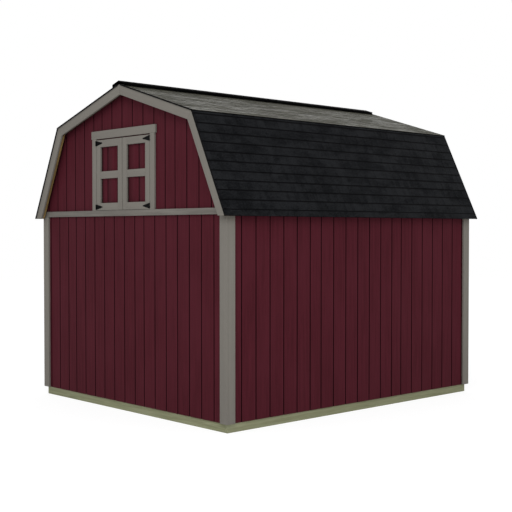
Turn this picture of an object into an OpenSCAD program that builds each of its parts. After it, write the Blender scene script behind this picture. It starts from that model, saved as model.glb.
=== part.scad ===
// Gambrel-roofed timber shed on a treated floor frame.
// The ridge runs along X. The loft doors are in the -X gable and the entrance is in the +Y eave wall.
// Millimetres. The origin is on the ground under the middle of the building.

/* [Overall] */
// Length of the floor frame along the ridge
floor_length = 4267; // [3000:1:6200]
// Width of the floor frame across the ridge
floor_width = 3658; // [3000:1:4600]
// Height of the stud walls, floor deck to top of plate
wall_height = 2252; // [1900:1:2800]

/* [Floor] */
// Height of the treated rim and joists
rim_height = 140; // [120:1:240]
// Thickness of the floor deck
deck_thickness = 18; // [12:1:28]
// How far the siding laps down over the rim
siding_lap = 40; // [10:1:100]

/* [Framing] */
// Thickness of the framing lumber
lumber_thickness = 38; // [30:1:50]
// Depth of the wall studs, plates, rafters and loft joists
lumber_depth = 89; // [70:1:140]
// Spacing of studs and joists
stud_spacing = 406; // [300:1:620]
// Spacing of the rafters
rafter_spacing = 610; // [400:1:700]
// Depth of the ridge board
ridge_board_depth = 140; // [90:1:190]
// Depth of the header over the entrance
header_depth = 89; // [70:1:140]
// Gap between the loft floor and the frames round it
loft_floor_gap = 4; // [1:1:12]
// Thickness of the loft floor
loft_floor_thickness = 18; // [12:1:28]

/* [Walls and trim] */
// Thickness of the siding sheets
siding_thickness = 12; // [9:1:19]
// Thickness of the trim boards
trim_thickness = 26; // [16:1:32]
// Width of the corner boards, measured on each face of the corner
corner_board_width = 120; // [80:1:160]
// Height of the band board across each gable
band_height = 71; // [50:1:140]

/* [Roof] */
// Overhang of the roof past the frame at the gables
gable_overhang = 121; // [110:1:300]
// Overhang of the roof past the frame at the eaves
eave_overhang = 110; // [60:1:200]
// Drop of the roof's lower edge below the wall plate
eave_drop = 69; // [20:1:90]
// Horizontal distance from the frame's face in to the break of the roof
break_inset = 449; // [300:1:600]
// Rise of the steep lower slope
lower_rise = 1164; // [900:1:1400]
// Rise of the shallow upper slope
upper_rise = 427; // [250:1:700]
// Thickness of the roof sheathing
sheathing_thickness = 12; // [9:1:18]
// Thickness of the layer of shingles
shingle_thickness = 10; // [6:1:14]
// How far the shingles reach past the rake boards
shingle_lap = 8; // [3:1:20]
// Width of the rake boards, square to the slope
rake_board_width = 114; // [80:1:160]

/* [Ridge vent] */
// Horizontal half width of the vent
vent_half_width = 128; // [90:1:200]
// Height of the vent above the shingles
vent_height = 33; // [16:1:50]
// Thickness of the vent's cap
vent_cap_thickness = 9; // [5:1:14]
// Width of the baffle under each long edge of the vent
vent_baffle_width = 20; // [8:1:40]
// How far the vent reaches past the shingles at the loft end
vent_lap = 3; // [0:1:20]
// How far the vent stops short of the shingles at the plain end
vent_short = 70; // [0:1:150]
// Half width of the slot left open in the sheathing under the vent
vent_slot = 25; // [21:1:40]

/* [Loft doors] */
// Width of the opening for the loft doors
loft_opening_width = 1110; // [700:1:1300]
// Height of the loft doors
loft_door_height = 867; // [600:1:900]
// Distance of the opening's middle from the middle of the gable
loft_opening_offset = 55; // [-120:1:120]

/* [Entrance] */
// Width of the entrance opening
entrance_width = 1524; // [1000:1:1800]
// Height of the entrance doors
entrance_door_height = 1880; // [1600:1:1900]
// Distance of the entrance's middle from the middle of the wall
entrance_offset = 0; // [-400:1:400]

/* [Doors and casing] */
// Width of the upright casing boards
casing_width = 86; // [60:1:120]
// Height of the head casing
head_height = 98; // [70:1:140]
// How far the head casing reaches past the upright boards
head_lap = 17; // [0:1:40]
// Gap between the top of the leaves and the head casing
head_gap = 14; // [6:1:24]
// Running gap around and between the leaves
leaf_gap = 3; // [2:0.5:6]
// Width of the upright frame boards of a leaf
stile_width = 89; // [80:1:130]
// Height of the cross boards of a leaf
rail_height = 89; // [70:1:120]
// Thickness of the frame boards of a leaf
leaf_board_thickness = 25; // [16:1:26]

/* [Hinges] */
// Reach of a loft door's strap from the leaf's edge
loft_strap_length = 130; // [80:1:200]
// Height of a loft door's strap at its root
loft_strap_height = 61; // [40:1:80]
// Reach of an entrance door's strap
entrance_strap_length = 200; // [100:1:260]
// Height of an entrance door's strap at its root
entrance_strap_height = 76; // [50:1:90]
// Distance of a loft hinge's middle from the leaf's top or bottom
loft_hinge_inset = 40; // [32:1:120]
// Distance of an outer entrance hinge's middle from the leaf's top or bottom
entrance_hinge_inset = 48; // [40:1:160]
// Length of a strap's square root
strap_root = 14; // [6:1:30]
// Height of a strap's tip
strap_tip = 10; // [4:1:20]
// Thickness of the hinge metal
strap_thickness = 4; // [3:0.5:6]
// Radius of the hinge knuckle
knuckle_radius = 5; // [4:0.5:8]
// Depth of the hinge's plate in the gap beside the leaf
jamb_plate_depth = 22; // [14:1:26]

/* [Hidden] */
$fn = 32;
hx = floor_length / 2;
hy = floor_width / 2;
deck_top = rim_height + deck_thickness;
siding_bottom = rim_height - siding_lap;
plate_top = deck_top + wall_height;
loft_floor_top = plate_top + loft_floor_thickness;
band_bottom = loft_floor_top - band_height;
sheet_joint = loft_floor_top - band_height / 2;
trim_face = siding_thickness + trim_thickness;

// roof lines, in the plane across the ridge
roof_half = hy + eave_overhang;
eave_z = plate_top - eave_drop;
break_y = hy - break_inset;
break_z = eave_z + lower_rise;
ridge_z = break_z + upper_rise;
steep = atan2(lower_rise, roof_half - break_y);
shallow = atan2(upper_rise, break_y);
sheathing_top = shingle_thickness;
sheathing_under = shingle_thickness + sheathing_thickness;
rafter_under = sheathing_under + lumber_depth;

// rake boards and rake rafters, as distances out from the frame's face
rake_face = gable_overhang - shingle_lap;
rake_back = rake_face - trim_thickness;
rake_rafter_back = rake_back - lumber_thickness;

// door openings
loft_top = loft_floor_top + leaf_gap + loft_door_height;
loft_low = loft_opening_offset - loft_opening_width / 2;
loft_high = loft_opening_offset + loft_opening_width / 2;
entrance_top = deck_top + leaf_gap + entrance_door_height;
entrance_low = entrance_offset - entrance_width / 2;
entrance_high = entrance_offset + entrance_width / 2;
header_bottom = entrance_top + leaf_gap;

wood_red = [0.29, 0.12, 0.15];
trim_grey = [0.47, 0.45, 0.42];
shingle_dark = [0.12, 0.12, 0.13];
shingle_light = [0.40, 0.40, 0.37];
bare_wood = [0.72, 0.58, 0.40];
treated = [0.50, 0.50, 0.37];
metal_black = [0.04, 0.04, 0.04];

// point on the steep line that lies a distance t under the roof's surface, at height z
function steep_at_z(t, z) = [roof_half - (z - eave_z) / tan(steep) - t / sin(steep), z];
// the same line at distance y from the ridge
function steep_at_y(t, y) = [y, eave_z + (roof_half - y) * tan(steep) - t / cos(steep)];
// the shallow line at distance y from the ridge
function shallow_at_y(t, y) = [y, ridge_z - y * tan(shallow) - t / cos(shallow)];
// the corner where both lines meet
function corner_at(t) = [
    break_y - t * (sin(steep) + sin(shallow)) / (1 + cos(steep - shallow)),
    break_z - t * (cos(steep) + cos(shallow)) / (1 + cos(steep - shallow))
];
// height of the roof's line t under the surface, whichever slope is over y
function roof_at(t, y) = min(steep_at_y(t, abs(y))[1], shallow_at_y(t, abs(y))[1]);

// a box given by its two corners
module block(a, b) {
    translate(a) cube(b - a);
}

// a profile drawn across the ridge, carried along X
module along(x0, x1) {
    translate([x0, 0, 0]) rotate([90, 0, 90]) linear_extrude(x1 - x0) children();
}

// children on both sides of the ridge
module both_slopes() {
    children();
    mirror([0, 1, 0]) children();
}

// children at both gables
module both_ends() {
    children();
    mirror([1, 0, 0]) children();
}

module steep_profile(t0, t1) {
    polygon([steep_at_z(t0, eave_z), corner_at(t0), corner_at(t1), steep_at_z(t1, eave_z)]);
}

module shallow_profile(t0, t1, y_end) {
    polygon([corner_at(t0), shallow_at_y(t0, y_end), shallow_at_y(t1, y_end), corner_at(t1)]);
}

// ---- floor ----
module long_floor_rims() {
    color(treated) both_slopes() block([-hx, hy - lumber_thickness, 0], [hx, hy, rim_height]);
}

module end_floor_rims() {
    inner = hy - lumber_thickness;
    color(treated) both_ends() block([-hx, -inner, 0], [-hx + lumber_thickness, inner, rim_height]);
}

module floor_joists() {
    inner = hy - lumber_thickness;
    color(treated)
    for (x = [-hx + stud_spacing : stud_spacing : hx - 3 * lumber_thickness])
        block([x - lumber_thickness / 2, -inner, 0], [x + lumber_thickness / 2, inner, rim_height]);
}

module floor_deck() {
    color(bare_wood) block([-hx, -hy, rim_height], [hx, hy, deck_top]);
}

// ---- wall frames ----
module long_wall_plates() {
    inner = hy - lumber_depth;
    foot = deck_top + lumber_thickness;
    color(bare_wood) {
        block([-hx, -hy, deck_top], [hx, -inner, foot]);
        block([-hx, inner, deck_top], [entrance_low, hy, foot]);
        block([entrance_high, inner, deck_top], [hx, hy, foot]);
        both_slopes() block([-hx, inner, plate_top - lumber_thickness], [hx, hy, plate_top]);
    }
}

module end_wall_plates() {
    inner = hy - lumber_depth;
    foot = deck_top + lumber_thickness;
    color(bare_wood)
    both_ends() {
        block([-hx, -inner, deck_top], [-hx + lumber_depth, inner, foot]);
        block([-hx, -inner, plate_top - lumber_thickness], [-hx + lumber_depth, inner, plate_top]);
    }
}

module stud(x, y0, z0, z1) {
    block([x - lumber_thickness / 2, y0, z0], [x + lumber_thickness / 2, y0 + lumber_depth, z1]);
}

module long_wall_studs() {
    half = lumber_thickness / 2;
    z0 = deck_top + lumber_thickness;
    z1 = plate_top - lumber_thickness;
    last = hx - half;
    clear_low = entrance_low - 2 * lumber_thickness - half;
    clear_high = entrance_high + 2 * lumber_thickness + half;
    color(bare_wood) {
        for (x = [-hx + half : stud_spacing : last - 3 * half]) {
            stud(x, -hy, z0, z1);
            if (x < clear_low || x > clear_high)
                stud(x, hy - lumber_depth, z0, z1);
            if (x > entrance_low + half && x < entrance_high - half)
                stud(x, hy - lumber_depth, header_bottom + header_depth, z1);
        }
        stud(last, -hy, z0, z1);
        stud(last, hy - lumber_depth, z0, z1);
        stud(entrance_low - half, hy - lumber_depth, z0, header_bottom);
        stud(entrance_high + half, hy - lumber_depth, z0, header_bottom);
    }
}

module entrance_header() {
    color(bare_wood)
    block(
        [entrance_low - lumber_thickness, hy - lumber_depth, header_bottom],
        [entrance_high + lumber_thickness, hy, header_bottom + header_depth]
    );
}

module end_wall_studs() {
    half = lumber_thickness / 2;
    z0 = deck_top + lumber_thickness;
    z1 = plate_top - lumber_thickness;
    last = hy - lumber_depth - half;
    color(bare_wood)
    both_ends() {
        for (y = [-last : stud_spacing : last - 3 * half])
            block([-hx, y - half, z0], [-hx + lumber_depth, y + half, z1]);
        block([-hx, last - half, z0], [-hx + lumber_depth, last + half, z1]);
    }
}

// ---- loft and roof frames ----
module loft_joists() {
    half = lumber_thickness / 2;
    inner = hy - lumber_depth;
    color(bare_wood)
    for (x = [-hx + lumber_depth + stud_spacing / 2 : stud_spacing : hx - lumber_depth - 2 * lumber_thickness])
        block([x - half, -inner, plate_top - lumber_depth], [x + half, inner, plate_top]);
}

module loft_floor() {
    side = steep_at_z(rafter_under, loft_floor_top)[0] - loft_floor_gap;
    end = hx - lumber_thickness - loft_floor_gap;
    color(bare_wood) block([-end, -side, plate_top], [end, side, loft_floor_top]);
}

// one upright of a gable frame, cut to the rafter above it
module gable_stud(y0, y1, z0) {
    along(-hx, -hx + lumber_thickness)
    polygon([[y0, z0], [y1, z0], [y1, roof_at(rafter_under, y1)], [y0, roof_at(rafter_under, y0)]]);
}

module gable_studs() {
    t = lumber_thickness;
    far = corner_at(rafter_under)[0] - t;
    color(bare_wood) {
        gable_stud(loft_low - t, loft_low, plate_top);
        gable_stud(loft_high, loft_high + t, plate_top);
        gable_stud(-far - t, -far, plate_top);
        gable_stud(far, far + t, plate_top);
        gable_stud(-1.5 * t, -0.5 * t, loft_top + leaf_gap + lumber_depth);
        mirror([1, 0, 0]) {
            gable_stud(-far - t, -far, plate_top);
            gable_stud(far, far + t, plate_top);
            for (y = [-far / 2, far / 2])
                gable_stud(y - t / 2, y + t / 2, plate_top);
        }
    }
}

module loft_header() {
    low = loft_top + leaf_gap;
    color(bare_wood) block([-hx, loft_low, low], [-hx + lumber_thickness, loft_high, low + lumber_depth]);
}

module rafter_places() {
    half = lumber_thickness / 2;
    last = hx - half;
    for (x = [-last : rafter_spacing : last - 3 * half])
        translate([x, 0, 0]) children();
    translate([last, 0, 0]) children();
}

module lower_rafters() {
    half = lumber_thickness / 2;
    color(bare_wood)
    rafter_places() both_slopes() along(-half, half) polygon([
        [hy, plate_top],
        steep_at_y(sheathing_under, hy),
        corner_at(sheathing_under),
        corner_at(rafter_under),
        steep_at_z(rafter_under, plate_top)
    ]);
}

module upper_rafters() {
    half = lumber_thickness / 2;
    color(bare_wood)
    rafter_places() both_slopes() along(-half, half)
    shallow_profile(sheathing_under, rafter_under, half);
}

module ridge_board() {
    half = lumber_thickness / 2;
    top = shallow_at_y(sheathing_under, half)[1];
    color(bare_wood) block([-hx, -half, top - ridge_board_depth], [hx, half, top]);
}

module lower_rake_rafters() {
    color(bare_wood)
    both_ends() both_slopes() along(-hx - rake_back, -hx - rake_rafter_back)
    steep_profile(sheathing_under, rafter_under);
}

module back_upper_rake_rafters() {
    color(bare_wood)
    both_ends() mirror([0, 1, 0]) along(-hx - rake_back, -hx - rake_rafter_back)
    shallow_profile(sheathing_under, rafter_under, 0);
}

module front_upper_rake_rafters() {
    color(bare_wood)
    both_ends() along(-hx - rake_back, -hx - rake_rafter_back)
    shallow_profile(sheathing_under, rafter_under, 0);
}

// ---- siding ----
module eave_siding_profile() {
    polygon([
        [hy, siding_bottom],
        [hy + siding_thickness, siding_bottom],
        steep_at_y(sheathing_under, hy + siding_thickness),
        steep_at_y(sheathing_under, hy)
    ]);
}

module back_siding() {
    color(wood_red)
    mirror([0, 1, 0]) along(-hx - siding_thickness, hx + siding_thickness) eave_siding_profile();
}

module front_siding() {
    color(wood_red)
    difference() {
        along(-hx - siding_thickness, hx + siding_thickness) eave_siding_profile();
        block([entrance_low, hy - 10, deck_top], [entrance_high, hy + trim_face, header_bottom]);
    }
}

module lower_end_siding() {
    block([-hx - siding_thickness, -hy, siding_bottom], [-hx, hy, sheet_joint]);
}

module loft_end_lower_siding() {
    color(wood_red) lower_end_siding();
}

module plain_end_lower_siding() {
    color(wood_red) mirror([1, 0, 0]) lower_end_siding();
}

module gable_profile() {
    polygon([
        [-hy, sheet_joint],
        [hy, sheet_joint],
        steep_at_y(sheathing_under, hy),
        corner_at(sheathing_under),
        shallow_at_y(sheathing_under, 0),
        [-corner_at(sheathing_under)[0], corner_at(sheathing_under)[1]],
        [-hy, steep_at_y(sheathing_under, hy)[1]]
    ]);
}

module loft_end_gable_siding() {
    color(wood_red)
    difference() {
        along(-hx - siding_thickness, -hx) gable_profile();
        block([-hx - trim_face, loft_low, loft_floor_top], [-hx + 10, loft_high, loft_top + leaf_gap]);
    }
}

module plain_end_gable_siding() {
    color(wood_red) along(hx, hx + siding_thickness) gable_profile();
}

// ---- trim ----
module gable_corner_boards() {
    out = hy + trim_face;
    color(trim_grey)
    both_ends() both_slopes()
    block(
        [-hx - trim_face, out - corner_board_width, siding_bottom],
        [-hx - siding_thickness, out, band_bottom]
    );
}

module eave_corner_boards() {
    color(trim_grey)
    both_ends() both_slopes()
    along(-hx - siding_thickness, -hx - trim_face + corner_board_width)
    polygon([
        [hy + siding_thickness, siding_bottom],
        [hy + trim_face, siding_bottom],
        steep_at_y(sheathing_under, hy + trim_face),
        steep_at_y(sheathing_under, hy + siding_thickness)
    ]);
}

module band_boards() {
    out = hy + trim_face;
    color(trim_grey)
    both_ends()
    block([-hx - trim_face, -out, band_bottom], [-hx - siding_thickness, out, loft_floor_top]);
}

module lower_rake_boards() {
    color(trim_grey)
    both_ends() both_slopes() along(-hx - rake_face, -hx - rake_back)
    steep_profile(sheathing_top, sheathing_top + rake_board_width);
}

module back_upper_rake_boards() {
    color(trim_grey)
    both_ends() mirror([0, 1, 0]) along(-hx - rake_face, -hx - rake_back)
    shallow_profile(sheathing_top, sheathing_top + rake_board_width, 0);
}

module front_upper_rake_boards() {
    color(trim_grey)
    both_ends() along(-hx - rake_face, -hx - rake_back)
    shallow_profile(sheathing_top, sheathing_top + rake_board_width, 0);
}

// ---- roof skin ----
module lower_sheathing() {
    color(bare_wood)
    both_slopes() along(-hx - rake_back, hx + rake_back) steep_profile(sheathing_top, sheathing_under);
}

module upper_sheathing() {
    color(bare_wood)
    both_slopes() along(-hx - rake_back, hx + rake_back)
    shallow_profile(sheathing_top, sheathing_under, vent_slot);
}

module lower_shingles() {
    along(-hx - gable_overhang, hx + gable_overhang) steep_profile(0, shingle_thickness);
}

module upper_shingles() {
    along(-hx - gable_overhang, hx + gable_overhang) shallow_profile(0, shingle_thickness, vent_slot);
}

module back_lower_shingles() {
    color(shingle_dark) mirror([0, 1, 0]) lower_shingles();
}

module front_lower_shingles() {
    color(shingle_dark) lower_shingles();
}

module back_upper_shingles() {
    color(shingle_light) mirror([0, 1, 0]) upper_shingles();
}

module front_upper_shingles() {
    color(shingle_light) upper_shingles();
}

module ridge_vent() {
    cap = vent_height - vent_cap_thickness;
    inner = vent_half_width - vent_baffle_width;
    side = [
        shallow_at_y(-vent_height, vent_half_width),
        shallow_at_y(0, vent_half_width),
        shallow_at_y(0, inner),
        shallow_at_y(-cap, inner)
    ];
    color(metal_black)
    along(-hx - gable_overhang - vent_lap, hx + gable_overhang - vent_short)
    polygon([
        shallow_at_y(-vent_height, 0),
        side[0],
        side[1],
        side[2],
        side[3],
        shallow_at_y(-cap, 0),
        [-side[3][0], side[3][1]],
        [-side[2][0], side[2][1]],
        [-side[1][0], side[1][1]],
        [-side[0][0], side[0][1]]
    ]);
}

// ---- doors, drawn facing -Y with the opening's middle at x = 0 and the frame's face at y = 0 ----
module casing(width, bottom, top) {
    half = width / 2;
    difference() {
        union() {
            block([-half - casing_width, -trim_face, bottom], [half + casing_width, -siding_thickness, top]);
            block(
                [-half - casing_width - head_lap, -trim_face, top],
                [half + casing_width + head_lap, -siding_thickness, top + head_height]
            );
        }
        block([-half, -trim_face - 10, bottom - 10], [half, 10, top]);
    }
}

module leaf(width, bottom, height) {
    face = -siding_thickness - leaf_board_thickness;
    window_low = stile_width;
    window_high = width - stile_width;
    middle = bottom + height / 2;
    difference() {
        block([0, face, bottom], [width, 0, bottom + height]);
        block(
            [window_low, face - 10, bottom + rail_height],
            [window_high, -siding_thickness, middle - rail_height / 2]
        );
        block(
            [window_low, face - 10, middle + rail_height / 2],
            [window_high, -siding_thickness, bottom + height - rail_height]
        );
    }
}

module leaf_pair(width, bottom, height) {
    leaf_width = (width - 3 * leaf_gap) / 2;
    translate([-width / 2 + leaf_gap, 0, 0]) leaf(leaf_width, bottom, height);
    translate([leaf_gap / 2, 0, 0]) leaf(leaf_width, bottom, height);
}

// hinge at the left edge of the left leaf, its middle at z = 0
module hinge(length, height) {
    face = -siding_thickness - leaf_board_thickness;
    union() {
        translate([0, face, 0]) rotate([90, 0, 0]) linear_extrude(strap_thickness) polygon([
            [leaf_gap / 2, -height / 2],
            [leaf_gap + strap_root, -height / 2],
            [leaf_gap + length, -strap_tip / 2],
            [leaf_gap + length, strap_tip / 2],
            [leaf_gap + strap_root, height / 2],
            [leaf_gap / 2, height / 2]
        ]);
        translate([leaf_gap / 2, -trim_face - knuckle_radius, -height / 2])
            cylinder(r = knuckle_radius, h = height);
        block(
            [0, -trim_face - knuckle_radius, -height / 2],
            [leaf_gap, -trim_face + jamb_plate_depth, height / 2]
        );
    }
}

module hinge_set(width, heights, length, height) {
    for (z = heights) {
        translate([-width / 2, 0, z]) hinge(length, height);
        mirror([1, 0, 0]) translate([-width / 2, 0, z]) hinge(length, height);
    }
}

// turns a door drawn facing -Y to face -X at the loft end
module at_loft() {
    translate([-hx, loft_opening_offset, 0]) rotate([0, 0, -90]) children();
}

// turns a door drawn facing -Y to face +Y at the front
module at_entrance() {
    translate([entrance_offset, hy, 0]) rotate([0, 0, 180]) children();
}

module loft_casing() {
    color(trim_grey) at_loft() casing(loft_opening_width, loft_floor_top, loft_top + head_gap);
}

module loft_doors() {
    color(trim_grey) at_loft() leaf_pair(loft_opening_width, loft_floor_top + leaf_gap, loft_door_height);
}

module loft_hinges() {
    low = loft_floor_top + leaf_gap + loft_hinge_inset;
    high = loft_top - loft_hinge_inset;
    color(metal_black)
    at_loft() hinge_set(loft_opening_width, [low, high], loft_strap_length, loft_strap_height);
}

module entrance_casing() {
    color(trim_grey) at_entrance() casing(entrance_width, deck_top, entrance_top + head_gap);
}

module entrance_doors() {
    color(trim_grey) at_entrance() leaf_pair(entrance_width, deck_top + leaf_gap, entrance_door_height);
}

module entrance_hinges() {
    low = deck_top + leaf_gap + entrance_hinge_inset;
    high = entrance_top - entrance_hinge_inset;
    places = [low, (low + high) / 2, high];
    color(metal_black)
    at_entrance() hinge_set(entrance_width, places, entrance_strap_length, entrance_strap_height);
}

long_floor_rims();
end_floor_rims();
floor_joists();
floor_deck();
long_wall_plates();
long_wall_studs();
entrance_header();
end_wall_plates();
end_wall_studs();
loft_joists();
loft_floor();
gable_studs();
loft_header();
lower_rafters();
upper_rafters();
ridge_board();
lower_rake_rafters();
back_upper_rake_rafters();
front_upper_rake_rafters();
back_siding();
front_siding();
loft_end_lower_siding();
plain_end_lower_siding();
loft_end_gable_siding();
plain_end_gable_siding();
gable_corner_boards();
eave_corner_boards();
band_boards();
lower_rake_boards();
back_upper_rake_boards();
front_upper_rake_boards();
lower_sheathing();
upper_sheathing();
back_lower_shingles();
front_lower_shingles();
back_upper_shingles();
front_upper_shingles();
ridge_vent();
loft_casing();
loft_doors();
loft_hinges();
entrance_casing();
entrance_doors();
entrance_hinges();
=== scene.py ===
# %% [markdown]
# # A gambrel shed with grooved siding
# This notebook dresses a timber shed: red grooved sheet siding, grey trim boards, laminated
# shingles, a black ridge vent and panelled double doors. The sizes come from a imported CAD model,
# which is loaded as a fixed frame, so every piece here starts from a measured place.

# %% Load the frame
import math
import random

import bmesh
import bpy
from mathutils import Matrix, Vector


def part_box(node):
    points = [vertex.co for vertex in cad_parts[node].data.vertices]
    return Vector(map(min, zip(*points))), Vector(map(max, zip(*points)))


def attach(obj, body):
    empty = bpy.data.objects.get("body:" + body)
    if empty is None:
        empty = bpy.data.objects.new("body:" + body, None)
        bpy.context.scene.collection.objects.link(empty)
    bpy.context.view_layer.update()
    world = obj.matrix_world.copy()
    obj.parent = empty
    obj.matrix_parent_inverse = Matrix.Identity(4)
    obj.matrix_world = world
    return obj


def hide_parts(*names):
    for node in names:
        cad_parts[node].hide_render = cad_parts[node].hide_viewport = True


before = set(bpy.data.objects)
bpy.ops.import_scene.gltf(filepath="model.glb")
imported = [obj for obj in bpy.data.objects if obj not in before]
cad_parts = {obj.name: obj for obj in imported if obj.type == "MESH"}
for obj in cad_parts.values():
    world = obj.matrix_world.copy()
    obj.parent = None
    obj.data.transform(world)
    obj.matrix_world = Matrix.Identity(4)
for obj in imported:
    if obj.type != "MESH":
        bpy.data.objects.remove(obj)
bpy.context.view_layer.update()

# %% [markdown]
# ## Measures
# A dressed model stays true when it reads its sizes from the frame. The lines below ask the frame
# for the boxes of a few nodes and work out the roof's corner points and slopes from them. Sizes
# that the frame can't tell, such as the width of a groove, are written in the cells that use them.

# %% Sizes from the frame
deck_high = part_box("floor_deck")[1]
half_length = deck_high.x
half_width = deck_high.y
siding_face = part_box("back_siding")[1].x - half_length
trim_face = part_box("gable_corner_boards")[1].x - half_length
lower_low, lower_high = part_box("front_lower_shingles")
upper_low, upper_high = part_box("front_upper_shingles")
roof_end = lower_high.x
eave_point = Vector((0, lower_high.y, lower_low.z))
break_point = Vector((0, upper_high.y, lower_high.z))
slot_point = Vector((0, upper_low.y, upper_high.z))
steep_run = (break_point - eave_point).length
shallow_run = (slot_point - break_point).length
print("slopes:", round(steep_run, 3), round(shallow_run, 3), "siding stands out", round(siding_face, 4))

# %% [markdown]
# ## Working by hand, in code
# Each piece is made with the same operators as in the window: select, enter edit mode, cut, move,
# leave edit mode. These helpers keep the selection tidy, because an operator acts on all that is
# selected.

# %% Selection helpers
def deselect_all():
    """Leaves edit mode if it is open, and deselects every object."""
    if bpy.context.object and bpy.context.object.mode != "OBJECT":
        bpy.ops.object.mode_set(mode="OBJECT")
    bpy.ops.object.select_all(action="DESELECT")


def take(piece):
    """Makes piece the one selected, active object."""
    deselect_all()
    piece.select_set(True)
    bpy.context.view_layer.objects.active = piece
    return piece


def edit(piece):
    """Opens the piece in edit mode with all its faces selected."""
    take(piece)
    bpy.ops.object.mode_set(mode="EDIT")
    bpy.ops.mesh.select_mode(type="FACE")
    bpy.ops.mesh.select_all(action="SELECT")


def leave():
    """Goes back to object mode."""
    bpy.ops.object.mode_set(mode="OBJECT")


def join(parts, name):
    """Joins the parts into one piece with that name."""
    take(parts[0])
    for part in parts:
        part.select_set(True)
    if len(parts) > 1:
        bpy.ops.object.join()
    piece = bpy.context.object
    piece.name = name
    piece.data.name = name
    return piece


# %% [markdown]
# ## Starting from the frame's shapes
# Many pieces already have the right outline in the frame, which must not be changed itself. So a
# piece starts as a copy of its node. The copy's loose triangles are merged first, because a bevel
# or a cut only works on faces that share their corners. A real edge is never dead sharp, so most
# copies then get a small rounding, and the light catches it.

# %% Copies of frame nodes, merged and clean
def clean_copy(node, name):
    """A new piece with the node's shape: loose triangles become whole flat faces."""
    piece = bpy.data.objects.new(name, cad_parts[node].data.copy())
    piece.data.name = name
    bpy.context.collection.objects.link(piece)
    edit(piece)
    bpy.ops.mesh.customdata_custom_splitnormals_clear()
    bpy.ops.mesh.remove_doubles(threshold=0.00002)
    bpy.ops.mesh.dissolve_limited(angle_limit=math.radians(0.5))
    leave()
    piece.data.materials.clear()
    return piece


def ease_edges(piece, width):
    """Rounds the sharp edges a little, as a planed board's are."""
    take(piece)
    ease = piece.modifiers.new("ease", "BEVEL")
    ease.width = width
    ease.segments = 2
    ease.limit_method = "ANGLE"
    ease.angle_limit = math.radians(30)
    bpy.ops.object.modifier_apply(modifier=ease.name)
    bpy.ops.object.shade_smooth_by_angle(angle=math.radians(35))


def finish_piece(piece, material, slot, *stands_for):
    """Gives the piece its material and ties it to the frame."""
    piece.data.materials.clear()
    piece.data.materials.append(material)
    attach(piece, "root")
    if stands_for:
        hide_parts(*stands_for)
    piece.name


# %% [markdown]
# ## The grain of a board
# Wood looks right when its streaks run along the board, whichever way the board leans. Each board
# gets its own lengthwise coordinates, stored on its points as the attribute "grain": the first
# number runs along the board's longest edge, the second across it and the third through it. A
# random shift keeps two boards from looking alike.

# %% Lay the grain
def islands(mesh):
    """The mesh's separate boards, each as a list of vertices."""
    waiting = set(mesh.verts)
    while waiting:
        seed = min(waiting, key=lambda v: v.index)
        found = {seed}
        front = [seed]
        while front:
            vertex = front.pop()
            for edge in vertex.link_edges:
                other = edge.other_vert(vertex)
                if other not in found:
                    found.add(other)
                    front.append(other)
        waiting -= found
        yield sorted(found, key=lambda v: v.index)


def board_axes(vertices):
    """Unit vectors along, across and through a board."""
    # sorted, because a set gives its members in a different order on each run
    edges = sorted({e for v in vertices for e in v.link_edges}, key=lambda e: e.index)
    runs = sorted(((e.verts[1].co - e.verts[0].co) for e in edges), key=lambda r: -r.length)
    along = runs[0].normalized()
    if max(along, key=abs) < 0:
        along = -along
    across = next(r for r in runs if abs(r.normalized().dot(along)) < 0.3)
    across = (across - along * across.dot(along)).normalized()
    return along, across, along.cross(across)


def lay_grain(piece, seed):
    """Stores each board's own lengthwise coordinates, with a random shift."""
    draw = random.Random(seed)
    mesh = bmesh.new()
    mesh.from_mesh(piece.data)
    mesh.verts.index_update()
    mesh.edges.index_update()
    layer = mesh.verts.layers.float_vector.new("grain")
    for vertices in islands(mesh):
        axes = board_axes(vertices)
        shift = Vector((draw.uniform(0, 40), draw.uniform(0, 9), draw.uniform(0, 9)))
        for vertex in vertices:
            vertex[layer] = Vector([vertex.co.dot(a) for a in axes]) + shift
    mesh.to_mesh(piece.data)
    mesh.free()


# %% [markdown]
# ## Writing a material as sums
# A procedural material is a small sum of noises. Wiring Math nodes by hand hides that, so this
# class wraps a socket and lets the script write `streak * 0.4 + 0.3`. Colours and vectors don't go
# through Math nodes, which would turn them grey: they go through Mix and Vector Math.

# %% The socket class
class Number:
    """A socket that carries a number."""

    def __init__(self, tree, socket):
        self.tree = tree
        self.socket = socket

    def sum_with(self, operation, first, second):
        """A Math node on two values, each a Number or a plain number."""
        node = self.tree.nodes.new("ShaderNodeMath")
        node.operation = operation
        for place, value in enumerate((first, second)):
            if isinstance(value, Number):
                self.tree.links.new(value.socket, node.inputs[place])
            else:
                node.inputs[place].default_value = value
        return Number(self.tree, node.outputs[0])

    def __add__(self, other):
        return self.sum_with("ADD", self, other)

    def __radd__(self, other):
        return self.sum_with("ADD", other, self)

    def __sub__(self, other):
        return self.sum_with("SUBTRACT", self, other)

    def __rsub__(self, other):
        return self.sum_with("SUBTRACT", other, self)

    def __mul__(self, other):
        return self.sum_with("MULTIPLY", self, other)

    def __rmul__(self, other):
        return self.sum_with("MULTIPLY", other, self)


def band(value, low, high):
    """0 where value is under low, 1 over high, and a ramp between."""
    node = value.tree.nodes.new("ShaderNodeMapRange")
    node.interpolation_type = "SMOOTHSTEP"
    value.tree.links.new(value.socket, node.inputs["Value"])
    node.inputs["From Min"].default_value = low
    node.inputs["From Max"].default_value = high
    return Number(value.tree, node.outputs["Result"])


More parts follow.
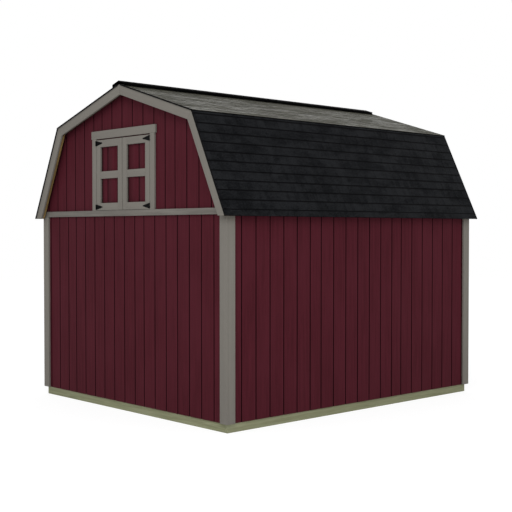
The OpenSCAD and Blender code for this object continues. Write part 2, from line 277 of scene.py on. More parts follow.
# %% The finish class
class Finish:
    """A material under construction, with its Principled shader."""

    def __init__(self, name, **constants):
        self.material = bpy.data.materials.new(name)
        self.material.use_nodes = True
        self.tree = self.material.node_tree
        self.tree.nodes.clear()
        self.shader = self.tree.nodes.new("ShaderNodeBsdfPrincipled")
        out = self.tree.nodes.new("ShaderNodeOutputMaterial")
        self.tree.links.new(self.shader.outputs[0], out.inputs["Surface"])
        for socket, value in constants.items():
            self.shader.inputs[socket.replace("_", " ")].default_value = value

    def add(self, kind, settings=None, sockets=None, output=0):
        """Adds a node. Settings are set first, then the values or links of its sockets."""
        node = self.tree.nodes.new(kind)
        for setting, value in (settings or {}).items():
            setattr(node, setting, value)
        for socket, value in (sockets or {}).items():
            if isinstance(value, Number):
                self.tree.links.new(value.socket, node.inputs[socket])
            else:
                node.inputs[socket].default_value = value
        return Number(self.tree, node.outputs[output])

    def feed(self, socket, value):
        """Links a value to a socket of the shader."""
        self.tree.links.new(value.socket, self.shader.inputs[socket])

    def place(self, stretch, source="Object"):
        """Coordinates on the piece, stretched: a small number makes a long streak."""
        if source == "Object":
            where = self.add("ShaderNodeTexCoord", output="Object")
        else:
            where = self.add("ShaderNodeAttribute", {"attribute_name": source}, output="Vector")
        return self.add("ShaderNodeMapping", {}, {"Vector": where, "Scale": stretch})

    def noise(self, where, scale, detail=3.0, roughness=0.5, distortion=0.0):
        """A noise from 0 to 1, with scale in repeats for each metre."""
        sockets = {
            "Vector": where, "Scale": scale, "Detail": detail,
            "Roughness": roughness, "Distortion": distortion,
        }
        return self.add("ShaderNodeTexNoise", {}, sockets, output=0)

    def mix(self, amount, first, second):
        """A colour between two colours."""
        sockets = {0: amount, 6: first, 7: second}
        return self.add("ShaderNodeMix", {"data_type": "RGBA"}, sockets, output=2)

    def bump(self, height, distance, strength):
        """Small relief, with distance in metres."""
        sockets = {"Height": height, "Distance": distance, "Strength": strength}
        self.feed("Normal", self.add("ShaderNodeBump", {}, sockets, output="Normal"))


def shade(red, green, blue):
    """A colour written as it looks on a screen, 0 to 255, as the shader's linear colour."""
    parts = [part / 255 for part in (red, green, blue)]
    linear = [part / 12.92 if part <= 0.04045 else ((part + 0.055) / 1.055) ** 2.4 for part in parts]
    return linear + [1.0]


def tell(material):
    """Prints how big a finish has become."""
    print("finish:", material.name, "from", len(material.node_tree.nodes), "nodes")


# %% [markdown]
# ## Painted siding
# The sheets are wood-faced and painted barn red. Up close the paint shows the wood's fine upright
# texture, so a noise is squeezed into long upright streaks. A second, broad noise lets the red
# drift a little from place to place, as rolled paint does. Matt paint has a weak highlight. Faces
# inside a groove carry the attribute "groove" and are painted darker, because hardly any light
# reaches the bottom of a real one.

# %% Red siding paint
def red_paint():
    """Barn red on wood-faced sheet, with painted shade inside the grooves."""
    finish = Finish("barn_red_paint", Specular_IOR_Level=0.04)
    upright = finish.place((1, 1, 0.035))
    fine = finish.noise(upright, 190, 3, 0.6)
    streak = finish.noise(upright, 40, 4, 0.62)
    drift = finish.noise(finish.place((1, 1, 0.6)), 2.2, 2)
    deep = shade(63, 21, 28.5)
    full = shade(74.5, 26.5, 35.5)
    pale = shade(75.5, 28.5, 37.5)
    # painted shade: the bottom of each groove is painted near black, for the little light that reaches
    # it
    groove_painted_shade = shade(8, 3, 4)
    colour = finish.mix(band(streak * 0.6 + fine * 0.4, 0.34, 0.66), deep, full)
    colour = finish.mix(band(drift, 0.35, 0.75) * 0.55, colour, pale)
    groove = finish.add("ShaderNodeAttribute", {"attribute_name": "groove"}, output="Fac")
    colour = finish.mix(band(groove, 0.0, 0.5) * 0.95, colour, groove_painted_shade)
    finish.feed("Base Color", colour)
    finish.feed("Roughness", 0.62 + fine * 0.16)
    finish.bump(fine * 0.35 + streak * 0.65, 0.0011, 0.55)
    return finish.material


siding_red = red_paint()
tell(siding_red)

# %% [markdown]
# ## Painted trim and bare boards
# Trim, rake rafters, rims and studs are all boards, so one recipe serves them: long streaks from
# the grain attribute, a slower wander for growth rings, and colours that say what the board is.
# Paint keeps the streaks faint, bare wood shows them, and treated wood adds a green-grey cast.
# The darkest wood, for the boards under the upper rakes, is painted shade: those boards lie in shade.

# %% Board finishes
def board_finish(name, dark, light, streaks, relief, gloss, rough):
    """A board between two colours: streaks sharpens the grain, relief is its depth in metres."""
    finish = Finish(name, Specular_IOR_Level=gloss)
    along = finish.place((0.045, 1, 1), "grain")
    wander = finish.noise(finish.place((0.25, 1, 1), "grain"), 9, 2)
    rings = finish.noise(along, 34, 3, 0.55, 0.6)
    fibres = finish.noise(along, 210, 3, 0.65)
    cloud = finish.noise(finish.place((0.5, 1, 1), "grain"), 2.4, 3)
    pattern = rings * 0.62 + fibres * 0.23 + wander * 0.15
    amount = band(pattern, 0.5 - 0.5 / streaks, 0.5 + 0.5 / streaks)
    colour = finish.mix(amount, dark, light)
    colour = finish.mix(band(cloud, 0.42, 0.75) * 0.22, colour, dark)
    finish.feed("Base Color", colour)
    finish.feed("Roughness", rough + fibres * 0.14)
    finish.bump(rings * 0.4 + fibres * 0.6, relief, 0.6)
    return finish.material


trim_grey = board_finish(
    "taupe_trim_paint", shade(111, 107, 101), shade(118, 114, 107), 1.6, 0.0004, 0.08, 0.62,
)
band_grey = board_finish(
    "taupe_band_paint", shade(96, 92, 87), shade(117, 113, 107), 2.0, 0.0006, 0.08, 0.62,
)
bare_wood = board_finish(
    "bare_softwood", shade(126, 96, 58), shade(176, 142, 96), 3.0, 0.0012, 0.2, 0.66,
)
# the lower rake rafters get darker, more olive wood than the frame's
rake_wood = board_finish(
    "olive_dark_softwood", shade(104, 84, 48), shade(142, 118, 74), 3.0, 0.0012, 0.2, 0.66,
)
# painted shade: the upper rake rafters get dark wood because they lie in shade
shade_painted_wood = board_finish(
    "shade_painted_softwood", shade(44, 28, 23), shade(66, 46, 36), 3.0, 0.0012, 0.1, 0.7,
)
treated_wood = board_finish(
    "treated_softwood", shade(119, 120, 92), shade(144, 146, 118), 2.4, 0.0010, 0.08, 0.68,
)
sheet_wood = board_finish(
    "sheathing_ply", shade(150, 118, 78), shade(184, 152, 106), 2.2, 0.0008, 0.2, 0.66,
)
for material in (trim_grey, band_grey, bare_wood, rake_wood, shade_painted_wood, treated_wood, sheet_wood):
    tell(material)


# %% [markdown]
# ## Shingles
# A laminated shingle is asphalt under crushed stone. The stone gives a speckle and a rough bump,
# each tab is a slightly different batch of grey, and the top of every exposed strip is darker: a
# printed band, as laminated shingles have, that is also painted shadow of the course above. The
# attribute "tab" holds those two: first the tab's own tone, then how far up the strip the point lies.
# The shallow upper slope gets lighter, warmer colours than the steep one: painted light, for the sun
# that falls on it. Its sheen catches the sky at a low angle, in long streaks, and only shows at a
# glancing look. The streaks are in the roughness, so from above the slope stays an even dark grey.

# %% Shingle finish
def shingle_finish(name, dark, light, stone, shares, grain, dust, rough, patches, crumbs, relief):
    """Stone-faced shingles. Shares say how much tabs, specks and patches change the colour."""
    finish = Finish(
        name, Specular_IOR_Level=0.02, Sheen_Weight=dust, Sheen_Roughness=0.3,
        Sheen_Tint=(1.0, 0.98, 0.78, 1),
    )
    tab = finish.add("ShaderNodeAttribute", {"attribute_name": "tab"}, output="Vector")
    tone = finish.add("ShaderNodeSeparateXYZ", {}, {"Vector": tab}, output="X")
    lift = finish.add("ShaderNodeSeparateXYZ", {}, {"Vector": tab}, output="Y")
    grit = finish.noise(finish.place((1, 1, 1)), 420, 2, 0.7)
    speck = finish.noise(finish.place((0.6, 1, 1)), grain, 2, 0.6)
    spread, stretch, wear = patches
    cloud = finish.noise(finish.place(stretch), spread, crumbs, 0.55, 0.4)
    patch = band(cloud, 0.32, 0.68)
    by_tab, by_speck, by_patch = shares
    amount = band(tone * by_tab + speck * by_speck + patch * by_patch, 0.28, 0.70)
    # near black for the top of each exposed strip: a printed band, as on laminated shingles, and also
    # painted shadow of the course above
    printed_band_and_painted_shadow = shade(4, 4, 5)
    colour = finish.mix(amount, dark, light)
    colour = finish.mix(band(grit, 0.5, 0.78) * 0.5, colour, stone)
    colour = finish.mix(band(lift, 0.81, 0.9) * 0.92, colour, printed_band_and_painted_shadow)
    finish.feed("Base Color", colour)
    worn = patch * 0.85 + band(tone, 0.45, 0.95) * 0.15
    finish.feed("Roughness", rough - worn * wear)
    finish.bump(grit, 0.0010, relief)
    return finish.material


# patches are the noise's scale, its stretch and how much smoother a worn patch is
shingle_steep = shingle_finish(
    "charcoal_shingle", shade(7, 8, 10), shade(28, 29, 31), shade(38, 39, 41),
    shares=(0.15, 0.67, 0.18), grain=70, dust=0.0, rough=0.6,
    patches=(7.0, (0.4, 1, 1), 0.1), crumbs=3, relief=0.35,
)
# painted light: the shallow slope's colours are lighter and warmer than the steep slope's, for the sun
# on the upper slope
shingle_shallow_painted_light = shingle_finish(
    "shallow_shingle_painted_light", shade(25, 25, 23), shade(54, 52, 44), shade(58, 56, 49),
    shares=(0.34, 0.54, 0.12), grain=34, dust=0.132, rough=0.58,
    patches=(6.0, (0.35, 1.3, 1.3), 0.32), crumbs=1, relief=0.10,
)
tell(shingle_steep)
tell(shingle_shallow_painted_light)


# %% [markdown]
# ## Black plastic and black steel
# The vent is moulded plastic and the hinges are powder-coated steel. Both are nearly black with a
# fine orange-peel relief. A little dust in a slow noise keeps them from being one flat black.

# %% Vent and hinge finishes
def black_finish(name, dark, light, gloss, rough, scale, relief):
    """A near-black skin with fine relief and a trace of dust."""
    finish = Finish(name, Specular_IOR_Level=gloss)
    grain = finish.noise(finish.place((1, 1, 1)), scale, 3, 0.6)
    dust = finish.noise(finish.place((1, 1, 1)), 6, 3)
    finish.feed("Base Color", finish.mix(band(dust, 0.4, 0.8), dark, light))
    finish.feed("Roughness", rough + grain * 0.2)
    finish.bump(grain, relief, 0.5)
    return finish.material


vent_black = black_finish(
    "black_vent_plastic", shade(2, 2, 2), shade(7, 7, 6), 0.02, 0.7, 700, 0.0004,
)
hinge_black = black_finish(
    "black_powder_coat", shade(5, 5, 6), shade(11, 11, 12), 0.04, 0.5, 900, 0.0003,
)
tell(vent_black)
tell(hinge_black)


# %% [markdown]
# ## Grooved siding
# The real sheet is pressed with upright grooves about every eight inches. Bump alone would leave
# the sheet's edges straight, so the grooves are cut into a copy of each wall: four upright cuts
# for each groove, and then the faces between the inner two are pushed back. At every seventh
# groove the sheets join and the spacing is a little shorter.

# %% Where the grooves are
groove_pitch = 0.2125
groove_pitch_at_joint = 0.1824
grooves_between_joints = 6


def groove_places(start, first_joint, low, high):
    """Places from start towards high, with the short space after groove first_joint."""
    places = []
    place = start
    count = 0
    while place < high:
        if place > low:
            places.append(place)
        at_joint = (count - first_joint) % (grooves_between_joints + 1) == 0
        place += groove_pitch_at_joint if at_joint else groove_pitch
        count += 1
    return places


# %% Cut the grooves
groove_width = 0.0135
groove_lip = 0.0010
groove_depth = 0.0085
least_depth = 0.0002
rounding = 0.0005


def cut_grooves(piece, axis, outward, places):
    """Pushes a row of upright grooves into the piece's outward face."""
    across = Vector((1, 0, 0)) if axis == 0 else Vector((0, 1, 0))
    half = groove_width / 2
    inner = half - groove_lip
    edit(piece)
    for place in places:
        for side in (-half, -inner, inner, half):
            bpy.ops.mesh.select_all(action="SELECT")
            bpy.ops.mesh.bisect(plane_co=across * (place + side), plane_no=across)
    bpy.ops.mesh.select_all(action="DESELECT")
    mesh = bmesh.from_edit_mesh(piece.data)
    for face in mesh.faces:
        where = face.calc_center_median()[axis]
        inside = any(abs(where - place) < inner for place in places)
        face.select = inside and face.normal.dot(outward) > 0.9
    bmesh.update_edit_mesh(piece.data)
    bpy.ops.transform.translate(value=outward * -groove_depth)
    leave()
    face_height = max(vertex.co.dot(outward) for vertex in piece.data.vertices)
    layer = piece.data.attributes.new("groove", "FLOAT", "FACE")
    for face, value in zip(piece.data.polygons, layer.data):
        depth = face_height - face.center.dot(outward)
        near = any(abs(face.center[axis] - place) < half for place in places)
        value.value = 1.0 if near and least_depth < depth < groove_depth + rounding else 0.0
    return piece


# %% The six sheets of siding
left = Vector((-1, 0, 0))
right = Vector((1, 0, 0))
front = Vector((0, 1, 0))
back = Vector((0, -1, 0))
long_wall_start = -half_length + 0.195
end_wall_start = -half_width + 0.205
gable_wall_start = -half_width + 0.035
long_wall = groove_places(long_wall_start, 5, -half_length, half_length)
end_wall = groove_places(end_wall_start, 6, -half_width, half_width)
gable_wall = groove_places(gable_wall_start, 4, -half_width, half_width)
walls = {
    "back_siding": (0, back, long_wall),
    "front_siding": (0, front, [-place for place in long_wall]),
    "loft_end_lower_siding": (1, left, end_wall),
    "plain_end_lower_siding": (1, right, [-place for place in end_wall]),
    "loft_end_gable_siding": (1, left, gable_wall),
    "plain_end_gable_siding": (1, right, [-place for place in gable_wall]),
}
for node, (axis, outward, places) in walls.items():
    sheet = cut_grooves(clean_copy(node, node + "_grooved"), axis, outward, places)
    finish_piece(sheet, siding_red, "siding_red", node)
    print(node, len(places), "grooves,", len(sheet.data.polygons), "faces")

# %% [markdown]
# ## Boards
# Every stick of the frame and every trim board has a copy with eased edges and its own grain.
# The edges matter more than they seem to: a board with dead sharp edges shows no line of light
# where it meets its neighbour, and a corner of two boards would look like one block.

# %% Boards from the frame
board_ease = 0.0025
sheet_ease = 0.0008
board_nodes = {
    trim_grey: ("trim_grey", [
        "gable_corner_boards", "eave_corner_boards",
        "lower_rake_boards", "back_upper_rake_boards", "front_upper_rake_boards",
    ]),
    band_grey: ("trim_grey", ["band_boards"]),
    rake_wood: ("bare_lumber", ["lower_rake_rafters"]),
    shade_painted_wood: ("bare_lumber", ["back_upper_rake_rafters", "front_upper_rake_rafters"]),
    bare_wood: ("bare_lumber", [
        "long_wall_plates", "long_wall_studs", "entrance_header", "end_wall_plates",
        "end_wall_studs", "loft_joists", "gable_studs", "loft_header",
        "lower_rafters", "upper_rafters", "ridge_board",
    ]),
    treated_wood: ("treated_lumber", ["long_floor_rims", "end_floor_rims", "floor_joists"]),
    sheet_wood: ("floor_sheet", ["floor_deck", "loft_floor", "lower_sheathing", "upper_sheathing"]),
}
seed = 0
for material, (slot, nodes) in board_nodes.items():
    for node in nodes:
        seed += 1
        boards = clean_copy(node, node + "_eased")
        ease_edges(boards, sheet_ease if material is sheet_wood else board_ease)
        lay_grain(boards, seed)
        finish_piece(boards, material, slot, node)
print("boards:", seed, "nodes")

# %% [markdown]
# ## Doors
# A shed door is a sheet of siding with boards planted on its face: two stiles, three rails. It is
# built flat, facing -Y about the opening's middle, and then turned into its wall. The boards butt
# against each other, so each is its own board with its own grain and eased edges.

# %% One board
def add_board(low, high, ease=board_ease):
    """A board between two corners, with eased edges."""
    deselect_all()
    low = Vector(low)
    high = Vector(high)
    bpy.ops.mesh.primitive_cube_add(size=1, location=(low + high) / 2, scale=high - low)
    bpy.ops.object.transform_apply(location=True, rotation=True, scale=True)
    bpy.ops.object.mode_set(mode="EDIT")
    bpy.ops.mesh.select_mode(type="EDGE")
    bpy.ops.mesh.select_all(action="SELECT")
    bpy.ops.mesh.bevel(offset=ease, segments=2, affect="EDGES")
    leave()
    bpy.ops.object.shade_smooth_by_angle(angle=math.radians(35))
    return bpy.context.object


def stand_in_wall(piece, middle, turn):
    """Turns a flat-built piece about Z and moves it into its wall, then applies both."""
    take(piece)
    piece.rotation_euler = (0, 0, turn)
    piece.location = middle
    bpy.ops.object.transform_apply(location=True, rotation=True, scale=True)


# %% Stiles and rails
leaf_gap = 0.003
leaf_relief = 0.0040
stile_width = 0.089
rail_height = 0.089
rail_setback = 0.0005
leaf_board_thickness = 0.025
leaf_boards_face = siding_face + leaf_board_thickness


def door_boards(width, bottom, height):
    """Stiles and rails of both leaves."""
    leaf_width = (width - 3 * leaf_gap) / 2
    boards = []
    for start in (-width / 2 + leaf_gap, leaf_gap / 2):
        end = start + leaf_width
        stiles = (
            (start + leaf_relief, start + stile_width),
            (end - stile_width, end - leaf_relief),
        )
        for low, high in stiles:
            boards.append(add_board(
                (low, -leaf_boards_face, bottom),
                (high, -siding_face, bottom + height),
            ))
        for low in (bottom, bottom + (height - rail_height) / 2, bottom + height - rail_height):
            boards.append(add_board(
                (start + stile_width, -leaf_boards_face + rail_setback, low),
                (end - stile_width, -siding_face, low + rail_height),
            ))
    return boards


# %% Door panels
panel_ease = 0.0006
panel_margin = 0.020
stile_groove_inset = 0.004
groove_room = 0.013


def door_panels(width, bottom, height, grooves):
    """The grooved sheets behind the boards, one for each leaf, with a groove beside each stile for
    painted shade.
    """
    leaf_width = (width - 3 * leaf_gap) / 2
    panels = []
    for start in (-width / 2 + leaf_gap, leaf_gap / 2):
        end = start + leaf_width
        panel = add_board(
            (start + leaf_relief, -siding_face, bottom),
            (end - leaf_relief, 0, bottom + height), panel_ease,
        )
        # painted shade: the dark-painted groove beside each stile stands in for the shade in the corner
        # where the panel meets the stile
        stile_shade_grooves = [start + stile_width + stile_groove_inset, end - stile_width - stile_groove_inset]
        places = list(stile_shade_grooves)
        for place in grooves:
            on_leaf = start + panel_margin < place < end - panel_margin
            if on_leaf and all(abs(place - other) > groove_room for other in stile_shade_grooves):
                places.append(place)
        panels.append(cut_grooves(panel, 0, back, sorted(places)))
    return panels


# %% Door casing
casing_width = 0.086
head_height = 0.098


def door_casing(width, bottom, top, overall):
    """Two upright boards and the head board that laps over them."""
    half = width / 2
    outer = half + casing_width
    spans = [
        ((-outer, bottom), (-half, top)),
        ((half, bottom), (outer, top)),
        ((-overall / 2, top), (overall / 2, top + head_height)),
    ]
    return [add_board((x0, -trim_face, z0), (x1, -siding_face, z1)) for (x0, z0), (x1, z1) in spans]


# %% Both pairs of doors
def build_doors(name, middle, turn, width, bottom, height, grooves, casing_box):
    """Makes one doorway's leaves, panels and casing, and ties them to the frame."""
    name_seed = sum(map(ord, name))
    boards = join(door_boards(width, bottom, height), name + "_door_boards")
    stand_in_wall(boards, middle, turn)
    lay_grain(boards, name_seed)
    finish_piece(boards, trim_grey, "trim_grey", name + "_doors")
    panels = join(door_panels(width, bottom, height, grooves), name + "_door_panels")
    stand_in_wall(panels, middle, turn)
    finish_piece(panels, siding_red, "siding_red")
    low, high = casing_box
    overall = max(high.x - low.x, high.y - low.y)
    casing = join(door_casing(width, low.z, high.z - head_height, overall), name + "_casing_boards")
    stand_in_wall(casing, middle, turn)
    lay_grain(casing, name_seed + 1)
    finish_piece(casing, trim_grey, "trim_grey", name + "_casing")
    print(name, "doorway", round(width, 3), "wide, leaves", round(height, 3), "high")


loft_low, loft_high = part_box("loft_doors")
loft_width = loft_high.y - loft_low.y + 2 * leaf_gap
loft_middle = Vector((-half_length, (loft_low.y + loft_high.y) / 2, 0))
loft_turn = -math.pi / 2
loft_grooves = [-0.336, -0.1235, 0.089, 0.313]
build_doors(
    "loft", loft_middle, loft_turn, loft_width, loft_low.z, loft_high.z - loft_low.z,
    loft_grooves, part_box("loft_casing"),
)
entrance_low, entrance_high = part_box("entrance_doors")
entrance_width = entrance_high.x - entrance_low.x + 2 * leaf_gap
entrance_middle = Vector(((entrance_low.x + entrance_high.x) / 2, half_width, 0))
entrance_turn = math.pi
first_groove_in = 0.17
entrance_grooves = groove_places(
    -entrance_width / 2 + first_groove_in, 3, -entrance_width / 2, entrance_width / 2,
)
build_doors(
    "entrance", entrance_middle, entrance_turn, entrance_width, entrance_low.z,
    entrance_high.z - entrance_low.z, entrance_grooves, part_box("entrance_casing"),
)

# %% [markdown]
# ## Hinges
# The straps are black steel triangles. The frame's own shape is right, so a copy only needs its
# edges taken off, and then the screws: one low dome, modelled once and copied along each strap.

# %% One screw
def screw_head(radius, height):
    """A low dome facing -Y, from half a sphere."""
    deselect_all()
    bpy.ops.mesh.primitive_uv_sphere_add(segments=12, ring_count=8, radius=radius)
    bpy.ops.object.mode_set(mode="EDIT")
    bpy.ops.mesh.select_all(action="SELECT")
    bpy.ops.mesh.bisect(plane_co=(0, 0, 0), plane_no=(0, 0, 1), clear_inner=True, use_fill=True)
    bpy.ops.mesh.select_all(action="SELECT")
    bpy.ops.transform.resize(value=(1, 1, height / radius))
    leave()
    dome = bpy.context.object
    dome.rotation_euler = (math.pi / 2, 0, 0)
    bpy.ops.object.transform_apply(location=True, rotation=True, scale=True)
    bpy.ops.object.shade_smooth_by_angle(angle=math.radians(40))
    return dome


# %% Rows of screws
screw_radius = 0.006
screw_height = 0.0022


def hinge_screws(name, width, heights, reaches, middle, turn, face):
    """Copies the screw along each strap of a doorway."""
    first = screw_head(screw_radius, screw_height)
    screws = []
    for z in heights:
        for side in (-1, 1):
            for reach, rise in reaches:
                screw = first.copy()
                screw.data = first.data.copy()
                bpy.context.collection.objects.link(screw)
                screw.location = (side * (width / 2 - leaf_gap - reach), -face, z + rise)
                screws.append(screw)
    bpy.data.objects.remove(first)
    deselect_all()
    for screw in screws:
        screw.select_set(True)
    bpy.context.view_layer.objects.active = screws[0]
    bpy.ops.object.transform_apply(location=True, rotation=True, scale=True)
    piece = join(screws, name + "_hinge_screws")
    stand_in_wall(piece, middle, turn)
    finish_piece(piece, hinge_black, "hinge_black")
    print(piece.name, len(screws), "screws")


# %% Straps
strap_ease = 0.0008
for name in ("loft", "entrance"):
    straps = clean_copy(name + "_hinges", name + "_hinge_straps")
    ease_edges(straps, strap_ease)
    finish_piece(straps, hinge_black, "hinge_black", name + "_hinges")
    print(straps.name, len(straps.data.polygons), "faces")

# %% Screws along the straps
# Each screw is given by its reach from the leaf's edge and its rise above the strap's middle.
strap_thickness = 0.004
strap_face = leaf_boards_face + strap_thickness
loft_hinge_inset = 0.040
loft_hinge_heights = (loft_low.z + loft_hinge_inset, loft_high.z - loft_hinge_inset)
loft_screws = [(0.012, 0.019), (0.012, -0.019), (0.055, 0.0), (0.100, 0.0)]
hinge_screws(
    "loft", loft_width, loft_hinge_heights, loft_screws, loft_middle, loft_turn, strap_face,
)
entrance_hinge_inset = 0.048
entrance_hinge_heights = (
    entrance_low.z + entrance_hinge_inset,
    (entrance_low.z + entrance_high.z) / 2,
    entrance_high.z - entrance_hinge_inset,
)
entrance_screws = [(0.012, 0.025), (0.012, -0.025), (0.070, 0.0), (0.120, 0.0), (0.165, 0.0)]
hinge_screws(
    "entrance", entrance_width, entrance_hinge_heights, entrance_screws,
    entrance_middle, entrance_turn, strap_face,
)

# %% [markdown]
# ## Shingle courses
# Shingles are laid in strips, each lapping the one below. One strip is a long thin wedge, thick at
# its lower edge, and random-width tabs are glued on it. One strip and one tab are modelled, each
# 1 m long and 1 m deep, and copies of them are stretched to their sizes. Courses are laid flat,
# with X along the roof, Y up the slope and Z out of it, and each finished slope is then tilted
# into place.

# %% One tapered slab
def add_wedge(low_x, high_x, low_y, high_y, low_z, butt, top):
    """A slab whose top face falls from height butt at its lower edge to height top."""
    deselect_all()
    middle = ((low_x + high_x) / 2, (low_y + high_y) / 2, (low_z + butt) / 2)
    size = (high_x - low_x, high_y - low_y, butt - low_z)
    bpy.ops.mesh.primitive_cube_add(size=1, location=middle, scale=size)
    bpy.ops.object.transform_apply(location=True, rotation=True, scale=True)
    bpy.ops.object.mode_set(mode="EDIT")
    bpy.ops.mesh.select_mode(type="EDGE")
    bpy.ops.mesh.select_all(action="DESELECT")
    mesh = bmesh.from_edit_mesh(bpy.context.object.data)
    for edge in mesh.edges:
        ends = [v.co for v in edge.verts]
        edge.select = all(abs(c.y - high_y) < 1e-6 and abs(c.z - butt) < 1e-6 for c in ends)
    bmesh.update_edit_mesh(bpy.context.object.data)
    bpy.ops.transform.translate(value=(0, 0, top - butt))
    leave()
    return bpy.context.object


# %% The strip and the tab that are copied
underlay = 0.0068
strip_butt = 0.0020
strip_head = 0.0003
tab_thickness = 0.0012
tab_head_rise = 0.0006
strip_master = add_wedge(0, 1, 0, 1, underlay, underlay + strip_butt, underlay + strip_head)
tab_master = add_wedge(
    0, 1, 0, 1, underlay, underlay + strip_butt + tab_thickness,
    underlay + strip_head + tab_head_rise,
)
print("strip and tab:", strip_butt, "m and", strip_butt + tab_thickness, "m thick at the lower edge")


# %% Copy and mark a tab
def mark_tab(part, tone, foot, climb):
    """Stores the tab's tone, and how far up the strip each point lies."""
    layer = part.data.attributes.new("tab", "FLOAT_VECTOR", "POINT")
    for vertex, value in zip(part.data.vertices, layer.data):
        value.vector = (tone, foot + vertex.co.y * climb, 0)


def lay_copy(master, low_x, high_x, low_y, high_y):
    """A copy of a slab that is 1 m long and 1 m deep, stretched to lie between these edges."""
    part = master.copy()
    part.data = master.data.copy()
    bpy.context.collection.objects.link(part)
    part.location = (low_x, low_y, 0)
    part.scale = (high_x - low_x, high_y - low_y, 1)
    return part


# %% A slope of courses
shingle_exposure = 0.1172
strip_lap = 0.012
least_strip = 0.004
tab_setback = 0.004
least_tab = 0.04
tab_widths = (least_tab, 0.15)
tab_gaps = (0.02, 0.09)
first_gaps = (0.0, 0.06)
strip_tones = (0.3, 0.5)
tab_tones = (0.35, 1.0)


def shingle_slope(run, seed, first_line):
    """The underlay, strips and tabs of one slope, laid flat with the eave along y = 0."""
    draw = random.Random(seed)
    sheet = add_wedge(-roof_end, roof_end, 0, run, 0, underlay, underlay)
    # the underlay takes the dark band all over, so its edges show near black
    mark_tab(sheet, 0.0, 1.0, 0.0)
    parts = [sheet]
    low = 0.0
    line = first_line
    while low < run - least_strip:
        high = min(line + strip_lap, run)
        exposure = line - low
        strip = lay_copy(strip_master, -roof_end, roof_end, low, high)
        mark_tab(strip, draw.uniform(*strip_tones), 0.0, (high - low) / exposure)
        parts.append(strip)
        place = -roof_end + draw.uniform(*first_gaps)
        while place < roof_end - least_tab:
            end = min(place + draw.uniform(*tab_widths), roof_end)
            tab = lay_copy(tab_master, place, end, low, high - tab_setback)
            mark_tab(tab, draw.uniform(*tab_tones), 0.0, (high - tab_setback - low) / exposure)
            parts.append(tab)
            place = end + draw.uniform(*tab_gaps)
        low = line
        line += shingle_exposure
    # the copies' places and sizes count in the join only after an update
    bpy.context.view_layer.update()
    return parts


# %% Lay one slope
slab_thickness = 0.010
edge_low = -0.006
edge_high = 0.0105
edge_thickness = 0.0015
edge_reach = 1 + edge_thickness / roof_end


def lay_slope(name, node, foot, head, side, seed, first_line, lap):
    """Tilts a flat slope so that its eave lies on foot and it climbs to head, with drip edges."""
    rise = (head - foot).normalized()
    climb = Vector((0, side * rise.y, rise.z))
    along = Vector((-side, 0, 0))
    out = along.cross(climb)
    run = (head - foot).length + lap
    foot = Vector((0, side * foot.y, foot.z)) - out * slab_thickness - climb * lap
    slope = join(shingle_slope(run, seed, first_line + lap), name)
    drip_edges = []
    for inner in (-roof_end, roof_end):
        outer = inner * edge_reach
        drip_edges.append(add_wedge(
            min(inner, outer), max(inner, outer), 0, run, edge_low, edge_high, edge_high,
        ))
    edges = join(drip_edges, name.replace("courses", "drip_edges"))
    tilt = Matrix((along, climb, out)).transposed().to_4x4()
    for piece in (slope, edges):
        take(piece)
        piece.matrix_world = Matrix.Translation(foot) @ tilt
        bpy.ops.object.transform_apply(location=True, rotation=True, scale=True)
    finish_piece(edges, hinge_black, "hinge_black")
    steep = "lower" in node
    material = shingle_steep if steep else shingle_shallow_painted_light
    finish_piece(slope, material, "shingles_steep" if steep else "shingles_shallow", node)
    print(name, len(slope.data.polygons), "faces, first tile at", tuple(round(v, 3) for v in foot))


# %% Lay the four slopes
first_steep_line = 0.082
break_lap = 0.010
lay_slope(
    "front_lower_courses", "front_lower_shingles", eave_point, break_point, 1, 11,
    first_steep_line, 0.0,
)
lay_slope(
    "back_lower_courses", "back_lower_shingles", eave_point, break_point, -1, 12,
    first_steep_line, 0.0,
)
lay_slope(
    "front_upper_courses", "front_upper_shingles", break_point, slot_point, 1, 13,
    shingle_exposure, break_lap,
)
lay_slope(
    "back_upper_courses", "back_upper_shingles", break_point, slot_point, -1, 14,
    shingle_exposure, break_lap,
)
bpy.data.objects.remove(strip_master)
bpy.data.objects.remove(tab_master)

# %% [markdown]
# ## Ridge vent
# The vent is a black plastic cap in the shape of a shallow roof. Air leaves through a row of small
# fins under each long edge, so one fin is modelled and an Array modifier repeats it.

# %% Vent cap
vent_ease = 0.002
vent = clean_copy("ridge_vent", "ridge_vent_cap")
ease_edges(vent, vent_ease)
finish_piece(vent, vent_black, "vent_black", "ridge_vent")
vent_low, vent_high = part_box("ridge_vent")
print("vent cap:", round(vent_high.x - vent_low.x, 3), "long,", len(vent.data.polygons), "faces")

# %% Vent fins
fin_pitch = 0.020
fin_along = (0.006, 0.010)
fin_up = (0.004, 0.022)
fin_ease = 0.0004
fin_thickness = 0.0015
fin_face = vent_high.y + fin_thickness
fin_count = int((vent_high.x - vent_low.x) / fin_pitch)
fins = []
for side in (-1, 1):
    near_y, far_y = sorted((side * vent_high.y, side * fin_face))
    fin = add_board(
        (vent_low.x + fin_along[0], near_y, vent_low.z + fin_up[0]),
        (vent_low.x + fin_along[1], far_y, vent_low.z + fin_up[1]), fin_ease,
    )
    row = fin.modifiers.new("row", "ARRAY")
    row.count = fin_count
    row.use_relative_offset = False
    row.use_constant_offset = True
    row.constant_offset_displace = (fin_pitch, 0, 0)
    bpy.ops.object.modifier_apply(modifier=row.name)
    fins.append(fin)
finish_piece(join(fins, "ridge_vent_fins"), vent_black, "vent_black")
print("vent fins:", 2 * fin_count)

# %% [markdown]
# ## Floor, light and camera
# The stage is a plain pale floor under a white sky. A white sky lights a scene evenly, and a large
# soft lamp on the left adds just enough direction for the boards' edges to show.

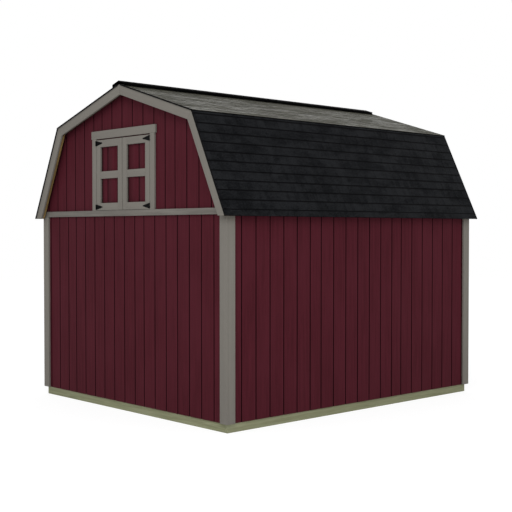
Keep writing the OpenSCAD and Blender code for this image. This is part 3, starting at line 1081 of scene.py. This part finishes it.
# %% Floor
deselect_all()
bpy.ops.mesh.primitive_plane_add(size=60, location=(0, 0, 0))
floor = bpy.context.object
floor.name = "studio_floor"
floor_finish = Finish("studio_floor_paint", Roughness=1.0, Specular_IOR_Level=0.0)
floor_finish.shader.inputs["Base Color"].default_value = shade(252, 252, 252)
glow = floor_finish.tree.nodes.new("ShaderNodeEmission")
path = floor_finish.tree.nodes.new("ShaderNodeLightPath")
glow_share = 0.72
share = Number(floor_finish.tree, path.outputs["Is Camera Ray"]) * glow_share
blend = floor_finish.tree.nodes.new("ShaderNodeMixShader")
floor_finish.tree.links.new(share.socket, blend.inputs[0])
floor_finish.tree.links.new(floor_finish.shader.outputs[0], blend.inputs[1])
floor_finish.tree.links.new(glow.outputs[0], blend.inputs[2])
surface = next(node for node in floor_finish.tree.nodes if node.type == "OUTPUT_MATERIAL")
floor_finish.tree.links.new(blend.outputs[0], surface.inputs["Surface"])
glow.inputs["Strength"].default_value = 1.12
floor.data.materials.append(floor_finish.material)
print("floor:", floor.name)

# %% Sky
world = bpy.data.worlds.new("studio_sky")
bpy.context.scene.world = world
world.use_nodes = True
sky = world.node_tree
sky.nodes.clear()
ray = sky.nodes.new("ShaderNodeLightPath")
seen = sky.nodes.new("ShaderNodeMath")
seen.operation = "MAXIMUM"
sky.links.new(ray.outputs["Is Camera Ray"], seen.inputs[0])
sky.links.new(ray.outputs["Is Glossy Ray"], seen.inputs[1])
lit = sky.nodes.new("ShaderNodeBackground")
shown = sky.nodes.new("ShaderNodeBackground")
lit.inputs["Color"].default_value = (0.98, 0.99, 1.0, 1)
lit.inputs["Strength"].default_value = 0.85
shown.inputs["Color"].default_value = (1, 1, 1, 1)
shown.inputs["Strength"].default_value = 1.0
either = sky.nodes.new("ShaderNodeMixShader")
sky.links.new(seen.outputs[0], either.inputs[0])
sky.links.new(lit.outputs[0], either.inputs[1])
sky.links.new(shown.outputs[0], either.inputs[2])
out = sky.nodes.new("ShaderNodeOutputWorld")
sky.links.new(either.outputs[0], out.inputs["Surface"])
print("sky: lights at", round(lit.inputs["Strength"].default_value, 2), "and shows at 1")

# %% Lamp
lamp = bpy.data.lights.new("soft_lamp", "AREA")
lamp.shape = "DISK"
lamp.size = 9.0
lamp.energy = 900
lamp_object = bpy.data.objects.new("soft_lamp", lamp)
bpy.context.collection.objects.link(lamp_object)
lamp_object.location = (-11.5, -11, 11)
lamp_object.rotation_mode = "QUATERNION"
lamp_aim = Vector((0, 0, 1.5))
lamp_object.rotation_quaternion = (lamp_aim - lamp_object.location).to_track_quat("-Z", "Y")
print("lamp:", lamp.size, "m disk,", lamp.energy, "W")

# %% Camera
camera_data = bpy.data.cameras.new("camera")
camera_data.lens = 71.08
camera_data.sensor_width = 36.0
camera_data.sensor_fit = "HORIZONTAL"
camera_data.clip_end = 200
camera = bpy.data.objects.new("camera", camera_data)
bpy.context.collection.objects.link(camera)
heading = math.radians(47.417)
dip = math.radians(-1.44)
camera.location = (-9.222, -9.9974, 2.1805)
forward = Vector((
    math.cos(dip) * math.cos(heading), math.cos(dip) * math.sin(heading), math.sin(dip),
))
camera.rotation_mode = "QUATERNION"
camera.rotation_quaternion = forward.to_track_quat("-Z", "Y")
bpy.context.scene.camera = camera
print("camera:", round(camera.location.z, 2), "m up,", round(camera_data.lens, 2), "mm lens")

# %% [markdown]
# ## Last settings
# A finish should not change the size of the thing it covers. The last cell sets the Standard view
# transform and leaves nothing selected.

# %% Last settings
bpy.context.scene.view_settings.view_transform = "Standard"
deselect_all()
